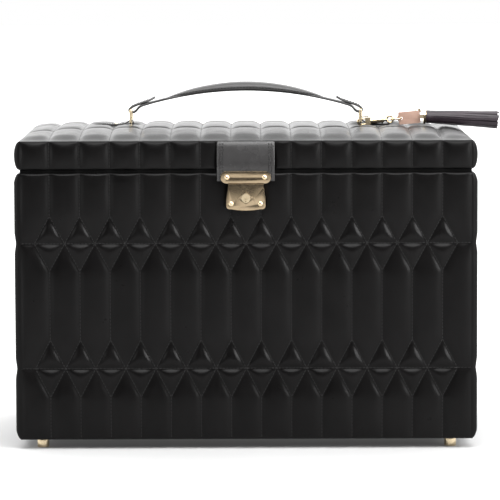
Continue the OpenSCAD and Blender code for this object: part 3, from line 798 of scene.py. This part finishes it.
def handle():
    """Strap that runs under each ring's upper bar, turns round it and lies back on itself."""
    turning = BAR + STRAP_T / 2 + 0.05 * MM
    step = 1.6 * MM

    def end(sign):
        back = TAIL + ((RING_X / MM - 4.5, 0.0),)
        over = [(sign * x * MM, 0, arc_z(x * MM, STRAP_T + (lift + 0.1) * MM)) for x, lift in back]
        return over + bend(sign * RING_X, Z_HANG, turning, 10, 175, sign)

    reach = RING_X - 8 * MM
    low = Z_HANG - turning + 0.5 * MM
    under = [(-RING_X + 4 * MM, 0, low)]
    under += [(x, 0, arc_z(x)) for x in np.linspace(-reach, reach, 60)]
    under += [(RING_X - 4 * MM, 0, low)]
    path = resample(end(-1) + under + end(1)[::-1], step)
    n = len(path)
    s = np.linspace(0, 1, n)
    tip = np.minimum(s, 1 - s) * n * step
    half = smoothed(np.where(np.abs(path[:, 0]) < PAD_END, HANDLE_HALF, END_HALF), 8)
    pointed = (2.6 + 3.9 * np.sqrt(np.clip(tip / POINT, 0, 1))) * MM
    half = np.where(tip < POINT, np.minimum(half, pointed), half)
    strap = ribbon(path, (0, 1, 0), half, STRAP_T)
    obj = piece("carry_strap", *strap, HANDLE, "handle", "smooth_leather", sharp=1.0)
    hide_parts("handle_strap")
    row = path[(np.abs(path[:, 0]) > SEAM_END) & (tip > 5 * MM)]
    for k, part in enumerate((row[row[:, 0] < 0], row[row[:, 0] > 0])):
        middle = np.array([arc_z(min(abs(x), RING_X)) for x in part[:, 0]])
        upper = part[part[:, 2] > middle + 1.2 * MM]
        for side in (-1, 1):
            edge_stitches(f"carry_strap_stitches_{k}{'ab'[side > 0]}", upper, (0, 1, 0),
                          side * (END_HALF - 1.6 * MM), -STRAP_T / 2, "handle")


def handle_pad():
    """Padded crown: fat in the middle, pointed at both ends, stitched down along its lower edge."""
    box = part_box("handle_pad")
    length, top = box[1].x, box[1].z
    crown = top - STRAP_TOP
    n, m = 90, 28
    xs = np.linspace(-1, 1, n)
    xs = np.sign(xs) * (1 - (1 - np.abs(xs)) ** 1.35) * length
    verts, lower = [], []
    wobble = smooth_noise((n, m), 6, 5)
    for i, x in enumerate(xs):
        f = max(0.02, 1 - (abs(x) / length) ** 2.0)
        high = crown * (f ** 0.85) + 0.25 * MM
        wide = 10.6 * MM * (0.42 + 0.58 * max(0.0, 1 - (abs(x) / length) ** 3.2) ** 0.6)
        base = arc_z(x, STRAP_T / 2) - 0.2 * MM
        for k in range(m):
            w = math.pi * k / (m - 1)
            c, s = math.cos(w), math.sin(w)
            y = wide * math.copysign(abs(c) ** 0.62, c)
            z = base + high * (abs(s) ** 0.78) * (1 + 0.02 * wobble[i, k])
            verts.append((x, y, z))
        lower.append((x, -wide * 0.995, base + min(1.2 * MM, high * 0.3)))
    faces = grid_faces(n, m)
    foot = len(verts)
    for i, x in enumerate(xs):
        low = arc_z(x, STRAP_T / 2) - 0.45 * MM
        verts.append((x, verts[i * m][1], low))
        verts.append((x, verts[i * m + m - 1][1], low))
    for i in range(n - 1):
        a, b = foot + 2 * i, foot + 2 * i + 2
        faces.append([i * m, (i + 1) * m, b, a])
        faces.append([(i + 1) * m + m - 1, i * m + m - 1, a + 1, b + 1])
        faces.append([a, b, b + 1, a + 1])
    for i in (0, n - 1):
        a = foot + 2 * i
        faces.append([i * m + k for k in range(m)] + [a + 1, a])
    obj = piece("carry_pad", verts, faces, HANDLE, "handle", "smooth_leather", sharp=0.9)
    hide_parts("handle_pad")
    seam = lower[4:n - 4]
    thread_run = stitch_run(seam, [(0, -1, 0.15)] * len(seam), 3.0 * MM, 0.3 * MM)
    piece("carry_pad_stitches", *thread_run, THREAD, "handle", "smooth_leather")


def tabs():
    """Pointed leather tabs folded round the rings' lower bars and riveted to the lid."""
    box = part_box("anchor_tabs")
    low, tip = box[0].z, box[1].x
    t = 1.05 * MM
    turning = BAR + t / 2 + 0.75 * MM
    tip_half, tab_half, taper = 1.2 * MM, 6.4 * MM, 0.72
    parts = []
    for sign in (-1, 1):
        under = [(sign * x, 0, low + 0.55 * MM) for x in (tip - 0.5 * MM, RING_X + 2 * MM)]
        loop = bend(sign * RING_X, Z_PIVOT, turning, 178, 370, sign, 20)
        heights = ((RING_X + 5 * MM, 2.9), (RING_X + 9 * MM, 1.75), (tip - 0.4 * MM, 1.62))
        over = [(sign * x, 0, low + z * MM) for x, z in heights]
        path = resample(under + loop + over, 1.0 * MM)
        half = np.clip(tip_half + (tip - np.abs(path[:, 0])) * taper, 0, tab_half)
        parts.append(ribbon(path, (0, 1, 0), half, t))
        row = np.array([p for p in path if abs(p[0]) > RING_X + 6 * MM and p[2] > low + 1.1 * MM])
        wide = np.minimum(tip_half + (tip - np.abs(row[:, 0])) * taper, tab_half)
        inset = np.maximum(wide - 1.3 * MM, 0.4 * MM)
        for k, side in enumerate((-1, 1)):
            edge_stitches(f"tab_stitches_{'lr'[sign > 0]}{k}", row, (0, 1, 0), side * inset, -t / 2, "lid",
                          2.4 * MM)
    obj = piece("ring_tabs", *join(parts), SMOOTH, "lid", "smooth_leather", sharp=1.0)
    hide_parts("anchor_tabs")


def lock_strap():
    """Smooth strap down the lid's front, bent outwards over the body's padding, with double stitching."""
    lo, hi = STRAP
    half = hi.x
    thick = 2.0 * MM
    upper = -SY - 2.2 * MM + thick / 2
    lower = lo.y + thick / 2
    bend_out = lower - upper
    pts = [
        (0, upper + 1.0 * MM, hi.z + 0.6 * MM),
        (0, upper + 0.1 * MM, hi.z - 1.5 * MM),
        (0, upper + 0.3 * bend_out, Z_LID + 17 * MM),
        (0, upper + 0.7 * bend_out, Z_LID + 10 * MM),
        (0, lower, Z_LID + 4 * MM),
        (0, lower, lo.z),
    ]
    path = resample(pts, 1.2 * MM)
    strap = ribbon(path, (1, 0, 0), half, thick)
    obj = piece("lock_strap", *strap, STRAP_LEATHER, "lid", "smooth_leather", sharp=1.0)
    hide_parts("strap_tab")
    outer, inner = half - 2.9 * MM, half - 5.2 * MM
    for k, offset in enumerate((outer, inner, -outer, -inner)):
        edge_stitches(f"lock_strap_stitches_{k}", path[1:-2], (1, 0, 0), offset, thick / 2, "lid", 2.8 * MM,
                      0.5 * MM)


# ---------------- charm

JOINTS = {j["name"]: j for j in frame["record"]["behaviour"]["joints"]}
TASSEL_SLOPE = math.radians(2.8)  # how far the tassel hangs below the horizontal
TASSEL_X = 3.6 * MM  # from the swing axis to the neck's shoulder
STRIP_X = 2.5 * MM  # from the shoulder to where the strips leave the neck
SKIRT_R = (6.1 * MM, 8.3 * MM)  # at the neck and at the strips' ends
STRIP_RINGS = ((22, 1.0), (16, 0.78), (10, 0.5))  # strips in a ring, share of the skirt's radius
STRIP_T = 0.55 * MM
# neck and head: mm from the swing axis, mm of radius
NECK = ((2.3, 1.9), (3.0, 2.1), (3.6, 2.1), (3.65, 5.4), (4.2, 6.0), (5.4, 6.15), (8, 6.0), (9.5, 5.4),
        (9.6, 3))


def tassel():
    """Leather neck and head, and three rings of cut strips that spread a little towards their ends."""
    origin = np.array(JOINTS["tassel_swing"]["pos_m"])
    along = np.array([math.cos(TASSEL_SLOPE), 0, -math.sin(TASSEL_SLOPE)])
    up = np.array([math.sin(TASSEL_SLOPE), 0, math.cos(TASSEL_SLOPE)])
    side = np.array([0.0, 1.0, 0.0])
    reach = (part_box("tassel_skirt")[1].x - origin[0]) / math.cos(TASSEL_SLOPE)
    length = reach - TASSEL_X + 3.5 * MM

    def place(x, r, w):
        return origin + along * x + (side * math.cos(w) + up * math.sin(w)) * r

    def strip(i, count, ratio, drift, sway, tip):
        stations = 12
        verts = []
        for k in range(stations + 1):
            f = k / stations
            x = TASSEL_X + STRIP_X + (length - STRIP_X - tip) * f
            grow = SKIRT_R[0] * 0.97 + (SKIRT_R[1] - SKIRT_R[0]) * f ** 1.2
            radius = grow * ratio + sway * math.sin(math.pi * f * 1.3)
            w = 2 * math.pi * (i + 0.5 * (ratio < 1)) / count + drift * f + 0.03 * math.sin(5 * f + i)
            mid = place(x, radius, w)
            inward = -(side * math.cos(w) + up * math.sin(w)) * STRIP_T
            half = (-side * math.sin(w) + up * math.cos(w)) * (math.pi * grow * ratio / count * 0.93)
            verts += [mid - half + inward, mid + half + inward, mid + half * 0.98, mid - half * 0.98]
        return verts, rod_faces(stations + 1, 4)

    sides = 28
    neck = [place(x * MM, r * MM, 2 * math.pi * k / sides) for x, r in NECK for k in range(sides)]
    parts = [(neck, rod_faces(len(NECK), sides))]
    draw = np.random.default_rng(23)
    for count, ratio in STRIP_RINGS:
        for i in range(count):
            drift = draw.normal(0, 0.05)
            sway = draw.normal(0, 0.25) * MM
            tip = draw.uniform(0, 3.0) * MM
            parts.append(strip(i, count, ratio, drift, sway, tip))
    obj = piece("tassel_fringe", *join(parts), FRINGE, "tassel", "tassel_leather", sharp=0.6)
    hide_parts("tassel_skirt")


# ---------------- bevelled copies of board and metal parts

def bevelled(node, name, width, material, slot, body):
    """Copy of a CAD node with rounded edges, for covered boards and for metal that catches the light."""
    src = frame["nodes"][node]
    b = bmesh.new()
    b.from_mesh(src.data)
    b.transform(src.matrix_world)
    bmesh.ops.remove_doubles(b, verts=b.verts, dist=0.00001)
    bmesh.ops.dissolve_limit(b, angle_limit=0.02, verts=b.verts, edges=b.edges)
    sharp = [e for e in b.edges if len(e.link_faces) == 2 and e.calc_face_angle(0) > 0.5]
    bmesh.ops.bevel(b, geom=sharp, offset=width * MM, segments=3, profile=0.5, affect="EDGES",
                    clamp_overlap=True)
    bmesh.ops.recalc_face_normals(b, faces=b.faces)
    mesh = bpy.data.meshes.new(name)
    b.to_mesh(mesh)
    b.free()
    obj = bpy.data.objects.new(name, mesh)
    bpy.context.scene.collection.objects.link(obj)
    for f in mesh.polygons:
        f.use_smooth = True
    mesh.set_sharp_from_angle(angle=0.6)
    mesh.materials.append(material)
    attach(obj, body)
    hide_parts(node)


def floor_cushion():
    """Soft pad on the case's floor: rounded edges, a swelling top and slight unevenness."""
    lo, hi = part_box("base_floor_pad")
    nx = max(8, min(80, int((hi.x - lo.x) / (4 * MM))))
    ny = max(8, min(60, int((hi.y - lo.y) / (4 * MM))))
    u = (1 - np.cos(np.linspace(0, math.pi, nx))) / 2
    v = (1 - np.cos(np.linspace(0, math.pi, ny))) / 2
    uu, vv = np.meshgrid(u, v)
    x, y = lo.x + uu * (hi.x - lo.x), lo.y + vv * (hi.y - lo.y)
    edge = np.minimum(np.minimum(x - lo.x, hi.x - x), np.minimum(y - lo.y, hi.y - y))
    r = min(1.5 * MM, (hi.z - lo.z) * 0.8)
    drop = np.where(edge < r, r - np.sqrt(np.maximum(r * r - (r - edge) ** 2, 0)), 0)
    swell = 0.8 * MM * (1 - (2 * uu - 1) ** 4) * (1 - (2 * vv - 1) ** 4)
    z = hi.z - drop + swell * (1 + 0.25 * smooth_noise(x.shape, 9, 3))
    skin = closed_skin(np.stack([x, y, z], -1), lambda q: (q[0], q[1], lo.z))
    obj = piece("floor_cushion", *skin, LINING, "case", "lining", sharp=1.1)
    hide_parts("base_floor_pad")


def ring_rolls():
    """Foam rolls covered in lining, with a tuck at each end and soft bumps along them."""
    lo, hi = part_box("ring_rolls")
    count = 5
    pitch = (hi.y - lo.y + 0.3 * MM) / count
    r = pitch / 2 - 0.2 * MM
    zc = (lo.z + hi.z) / 2
    parts = []
    n, m = 60, 26
    for i in range(count):
        yc = lo.y + (i + 0.5) * pitch - 0.15 * MM
        noise = smooth_noise((n, m + 2), 5, 60 + i)
        verts = []
        for a in range(n):
            f = a / (n - 1)
            x = lo.x + f * (hi.x - lo.x)
            end = min(f, 1 - f) * (hi.x - lo.x)
            tucked = r * min(1.0, 0.35 + 0.65 * math.sqrt(min(1.0, end / (5 * MM))))
            for k in range(m):
                w = 2 * math.pi * k / m
                q = tucked * (1 + 0.018 * noise[a, k] * math.sin(w / 2) ** 2)
                verts.append((x, yc + q * math.cos(w), zc + q * math.sin(w)))
        parts.append((verts, rod_faces(n, m)))
    obj = piece("foam_rolls", *join(parts), LINING, "tray", "lining", sharp=1.2)
    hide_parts("ring_rolls")


# ---------------- stage, light, camera

def stage():
    """White floor with painted light: an emission that rises towards the back brightens it into the
    backdrop behind the case.
    """
    reach = 14  # half the floor's side
    floor = bpy.data.meshes.new("floor")
    floor.from_pydata([(-reach, -reach, 0), (reach, -reach, 0), (reach, reach, 0), (-reach, reach, 0)],
                      [], [(0, 1, 2, 3)])
    obj = bpy.data.objects.new("floor", floor)
    bpy.context.scene.collection.objects.link(obj)
    n = Nodes("floor_white")
    n.set(Specular_IOR_Level=0.1, Emission_Color=(1, 1, 1, 1))
    n.colours(n.noise(3, 2), (0.52, 0.52, 0.52), (0.56, 0.56, 0.56))
    n.roughness(n.noise(5, 2), 0.8, 0.9)
    # painted light: the floor glows more towards the back, from nothing at Y = -0.15 m to strength 0.9 at Y
    # = 0.9 m, lifting the shade that the case casts behind it
    split = n.add("ShaderNodeSeparateXYZ")
    n.link(n.coords, split.inputs[0])
    painted_glow = n.spread(split.outputs["Y"], 0.0, 0.9, -0.15, 0.9)
    n.link(painted_glow, n.bsdf.inputs["Emission Strength"])
    floor.materials.append(n.mat)


def area_light(name, place, target, size, power):
    """White softbox that faces a point."""
    data = bpy.data.lights.new(name, "AREA")
    data.shape = "RECTANGLE"
    data.size, data.size_y = size
    data.energy = power
    obj = bpy.data.objects.new(name, data)
    obj.location = place
    obj.rotation_euler = (Vector(target) - Vector(place)).to_track_quat("-Z", "Y").to_euler()
    bpy.context.scene.collection.objects.link(obj)


def world():
    """White room: bright behind the case, dark behind the camera, plain white as its backdrop."""
    w = bpy.data.worlds.new("room")
    bpy.context.scene.world = w
    w.use_nodes = True
    t = w.node_tree
    back = t.nodes["Background"]
    coords = t.nodes.new("ShaderNodeTexCoord")
    split = t.nodes.new("ShaderNodeSeparateXYZ")
    t.links.new(coords.outputs["Generated"], split.inputs[0])
    ramp = t.nodes.new("ShaderNodeMapRange")
    for socket, value in (("From Min", -0.45), ("From Max", 0.35), ("To Min", 0.03), ("To Max", 2.4)):
        ramp.inputs[socket].default_value = value
    t.links.new(split.outputs["Y"], ramp.inputs["Value"])
    seen = t.nodes.new("ShaderNodeLightPath")
    pick = t.nodes.new("ShaderNodeMix")
    pick.data_type = "FLOAT"
    t.links.new(seen.outputs["Is Camera Ray"], pick.inputs["Factor"])
    t.links.new(ramp.outputs["Result"], pick.inputs["A"])
    pick.inputs["B"].default_value = 1.0
    t.links.new(pick.outputs["Result"], back.inputs["Strength"])
    back.inputs["Color"].default_value = (1, 1, 1, 1)


LENS = 238.6
EYE = (0.0036, -SY - 3.0, 0.4679)
AIM = (0.0036, -SY, 0.1826)
ROLL = math.radians(-0.2)


def camera():
    """Long lens from in front and a little above, as in the photograph."""
    data = bpy.data.cameras.new("camera")
    data.lens = LENS
    data.sensor_width = 36
    obj = bpy.data.objects.new("camera", data)
    bpy.context.scene.collection.objects.link(obj)
    turned = (Vector(AIM) - Vector(EYE)).to_track_quat("-Z", "Y").to_matrix().to_4x4()
    obj.matrix_world = Matrix.Translation(EYE) @ turned @ Matrix.Rotation(ROLL, 4, "Z")
    bpy.context.scene.camera = obj


# ---------------- carried-over CAD nodes

def dress_nodes():
    """Materials for the CAD nodes that stay visible as they are."""
    looks = {
        "pale_gold": GOLD, "steel": STEEL, "board": BOARD, "lining": LINING, "mirror": MIRROR,
        "smooth_leather": SMOOTH, "quilted_leather": QUILT, "tag_leather": TAG, "tassel_leather": FRINGE,
    }
    # the hasp and lock plates get the darkened brass: painted shade
    special = {"hasp_plate": BRUSHED_SHADED_GOLD, "lock_plate": BRUSHED_SHADED_GOLD}
    for side in ("top", "front", "back", "left", "right"):
        special[f"lid_{side}_board"] = DARK_BOARD
    slots = {s["node"]: s["material_slot"] for s in frame["record"]["subparts"]}
    for name, obj in frame["nodes"].items():
        obj.data.materials.clear()
        obj.data.materials.append(special.get(name, looks[slots[name]]))


BEVELLED = (
    # node, piece, bevel in mm, material, slot, body
    ("base_liner", "inner_lining", 0.6, DARK_LINING, "lining", "case"),
    ("lower_dividers", "padded_dividers", 0.9, LINING, "lining", "case"),
    ("tray_rails", "covered_rails", 0.6, DARK_LINING, "lining", "case"),
    ("tray", "covered_tray", 0.9, LINING, "lining", "tray"),
    ("tray_dividers", "covered_tray_dividers", 0.7, LINING, "lining", "tray"),
    # the rim binding gets the near-black leather: painted shade for the dark gap under the lid
    ("rim_binding", "rim_leather_painted_shade", 0.5, RIM_PAINTED_SHADE, "smooth_leather", "case"),
    ("underside_cover", "underside_leather", 0.4, SMOOTH, "smooth_leather", "case"),
    ("lid_lining", "lid_suede", 0.4, LINING, "lining", "lid"),
    ("mirror_frame", "mirror_frame_leather", 0.8, SMOOTH, "smooth_leather", "lid"),
    # hasp and lock plate: brushed brass darkened as painted shade
    ("hasp_plate", "hasp", 0.5, BRUSHED_SHADED_GOLD, "pale_gold", "lid"),
    ("lock_plate", "lock_face", 0.45, BRUSHED_SHADED_GOLD, "pale_gold", "case"),
    ("fob_tag", "charm_tag", 0.4, TAG, "tag_leather", "fob"),
    ("key", "small_key", 0.3, GOLD, "pale_gold", "fob"),
    ("feet", "gold_feet", 0.8, GOLD, "pale_gold", "case"),
)

stage()
world()
camera()
area_light("top_softbox", (0, -0.7, 1.9), (0, 0, 0.2), (2.2, 1.2), 30)
area_light("front_softbox", (0.2, -1.6, 1.7), (0, 0, 0.2), (1.6, 0.9), 30)
area_light("right_softbox", (1.7, -1.3, 1.0), (0, 0, 0.15), (0.8, 1.2), 44)
area_light("left_softbox", (-1.9, -0.9, 0.7), (0, 0, 0.15), (0.4, 1.2), 8)
bpy.context.scene.view_settings.view_transform = "Standard"
dress_nodes()
base_walls()
lid_walls()
lid_top()
lock_strap()
handle()
handle_pad()
tabs()
tassel()
ring_rolls()
floor_cushion()
for row in BEVELLED:
    bevelled(*row)
